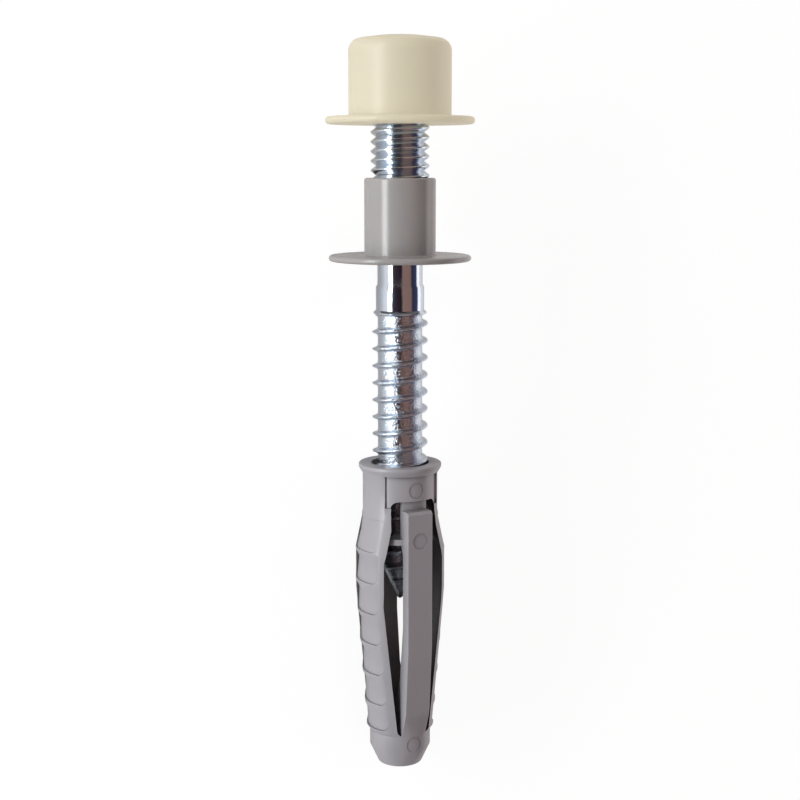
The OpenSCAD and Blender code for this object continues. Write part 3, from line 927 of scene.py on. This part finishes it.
def make_surroundings(scene, size):
    """Soft even light, banded reflections for the metal, and white where the camera sees it."""
    world = bpy.data.worlds.new("Soft room")
    scene.world = world
    world.use_nodes = True
    nodes, links = world.node_tree.nodes, world.node_tree.links
    back = nodes["Background"]
    coords = nodes.new("ShaderNodeTexCoord")
    split = nodes.new("ShaderNodeSeparateXYZ")
    ramp = nodes.new("ShaderNodeValToRGB")
    bands = ramp.color_ramp.elements
    bands[0].position, bands[0].color = ROOM_BANDS[0][0], (*ROOM_BANDS[0][1], 1)
    bands[1].position, bands[1].color = ROOM_BANDS[-1][0], (*ROOM_BANDS[-1][1], 1)
    for place, tint in ROOM_BANDS[1:-1]:
        bands.new(place).color = (*tint, 1)
    scale = nodes.new("ShaderNodeMapRange")
    scale.inputs["From Min"].default_value = -1.0
    seen = nodes.new("ShaderNodeLightPath")
    gloss = nodes.new("ShaderNodeMix")
    gloss.data_type = "RGBA"
    soft = nodes.new("ShaderNodeValToRGB")
    sides = soft.color_ramp.elements
    sides[0].color = (*size.left_light, 1)
    sides[1].color = (*size.right_light, 1)
    sides.new(0.5).color = (*size.top_light, 1)
    links.new(scale.outputs["Result"], soft.inputs["Fac"])
    links.new(soft.outputs["Color"], gloss.inputs["A"])
    mix = nodes.new("ShaderNodeMix")
    mix.data_type = "RGBA"
    mix.inputs["B"].default_value = (*size.white, 1)
    links.new(coords.outputs["Generated"], split.inputs["Vector"])
    links.new(split.outputs["X"], scale.inputs["Value"])
    links.new(scale.outputs["Result"], ramp.inputs["Fac"])
    links.new(seen.outputs["Is Glossy Ray"], gloss.inputs["Factor"])
    flank = nodes.new("ShaderNodeMix")
    flank.data_type = "RGBA"
    flank.inputs["B"].default_value = (*size.flank_light, 1)
    lengthwise = nodes.new("ShaderNodeMath")
    lengthwise.operation = "ABSOLUTE"
    tilted = nodes.new("ShaderNodeMapRange")
    tilted.inputs["From Min"].default_value = 0.78
    tilted.inputs["From Max"].default_value = 1.0
    links.new(split.outputs["Y"], lengthwise.inputs[0])
    links.new(lengthwise.outputs["Value"], tilted.inputs["Value"])
    links.new(tilted.outputs["Result"], flank.inputs["Factor"])
    links.new(ramp.outputs["Color"], flank.inputs["A"])
    links.new(flank.outputs["Result"], gloss.inputs["B"])
    links.new(seen.outputs["Is Camera Ray"], mix.inputs["Factor"])
    links.new(gloss.outputs["Result"], mix.inputs["A"])
    links.new(mix.outputs["Result"], back.inputs["Color"])


def add_lamp(name, place, target, width, height, power, tint):
    """A rectangular soft lamp aimed at a point."""
    data = bpy.data.lights.new(name, "AREA")
    data.shape = "RECTANGLE"
    data.size = width
    data.size_y = height
    data.energy = power
    data.color = tint
    lamp = bpy.data.objects.new(name, data)
    lamp.location = place
    lamp.rotation_euler = (Vector(target) - Vector(place)).to_track_quat("-Z", "Y").to_euler()
    bpy.context.scene.collection.objects.link(lamp)


def make_lamps():
    """A wide soft lamp, low on the left, and a weak warm one on the right."""
    add_lamp("left_lamp", (-0.5, 0.12, 0.13), (0, 0, 0.006), 0.7, 0.16, 3.0, (0.95, 0.99, 1.0))
    add_lamp("right_lamp", (0.5, 0.0, 0.12), (0, 0, 0.006), 0.7, 0.2, 0.45, (1.0, 0.93, 0.88))


def make_camera(scene, size):
    """A camera over the fixing, leaning towards the plug, at the photograph's angle."""
    axis = AXIS
    side = Vector((1, 0, 0))
    tongue = axis.cross(side) * -1
    turn = size.camera_roll
    towards = math.cos(turn) * tongue - math.sin(turn) * side
    right = math.cos(turn) * side + math.sin(turn) * tongue
    lean = size.camera_lean
    back = math.cos(lean) * towards + math.sin(lean) * axis
    up = math.cos(lean) * axis - math.sin(lean) * towards
    place = MOUTH + size.camera_along * axis + size.camera_height * towards
    data = bpy.data.cameras.new("camera")
    data.lens = size.lens
    data.sensor_width = 36.0
    data.clip_start = 0.005
    camera = bpy.data.objects.new("camera", data)
    turned = Matrix((right, up, back)).transposed().to_4x4()
    camera.matrix_world = Matrix.Translation(place) @ turned
    scene.collection.objects.link(camera)
    scene.camera = camera
    scene.view_settings.view_transform = "Standard"


class FIXING_PT_sidebar(bpy.types.Panel):
    """Builds the fixing's pieces"""

    bl_idname = "FIXING_PT_sidebar"
    bl_label = "Wall Fixing"
    bl_space_type = "VIEW_3D"
    bl_region_type = "UI"
    bl_category = "Wall Fixing"

    def draw(self, context):
        for name, group in GROUPS:
            box = self.layout.box()
            for prop in group.__annotations__:
                box.prop(getattr(context.scene, "fixing_" + name), prop)
            box.operator("fixing." + name)


GROUPS = (
    ("plug", FIXING_PG_plug),
    ("bolt", FIXING_PG_bolt),
    ("bush", FIXING_PG_bush),
    ("cap", FIXING_PG_cap),
    ("stage", FIXING_PG_stage),
)
OPERATORS = (FIXING_OT_plug, FIXING_OT_bolt, FIXING_OT_bush, FIXING_OT_cap, FIXING_OT_stage)


def register():
    """Registers the sizes, the operators and the panel."""
    for name, group in GROUPS:
        bpy.utils.register_class(group)
        setattr(bpy.types.Scene, "fixing_" + name, PointerProperty(type=group))
    for operator in OPERATORS:
        bpy.utils.register_class(operator)
    bpy.utils.register_class(FIXING_PT_sidebar)


def unregister():
    """Removes what register added."""
    bpy.utils.unregister_class(FIXING_PT_sidebar)
    for operator in reversed(OPERATORS):
        bpy.utils.unregister_class(operator)
    for name, group in reversed(GROUPS):
        delattr(bpy.types.Scene, "fixing_" + name)
        bpy.utils.unregister_class(group)


def main():
    """Builds the pieces in order."""
    register()
    bpy.ops.fixing.plug()
    bpy.ops.fixing.bolt()
    bpy.ops.fixing.bush()
    bpy.ops.fixing.cap()
    bpy.ops.fixing.stage()
    bpy.context.view_layer.update()


if __name__ == "__main__":
    main()
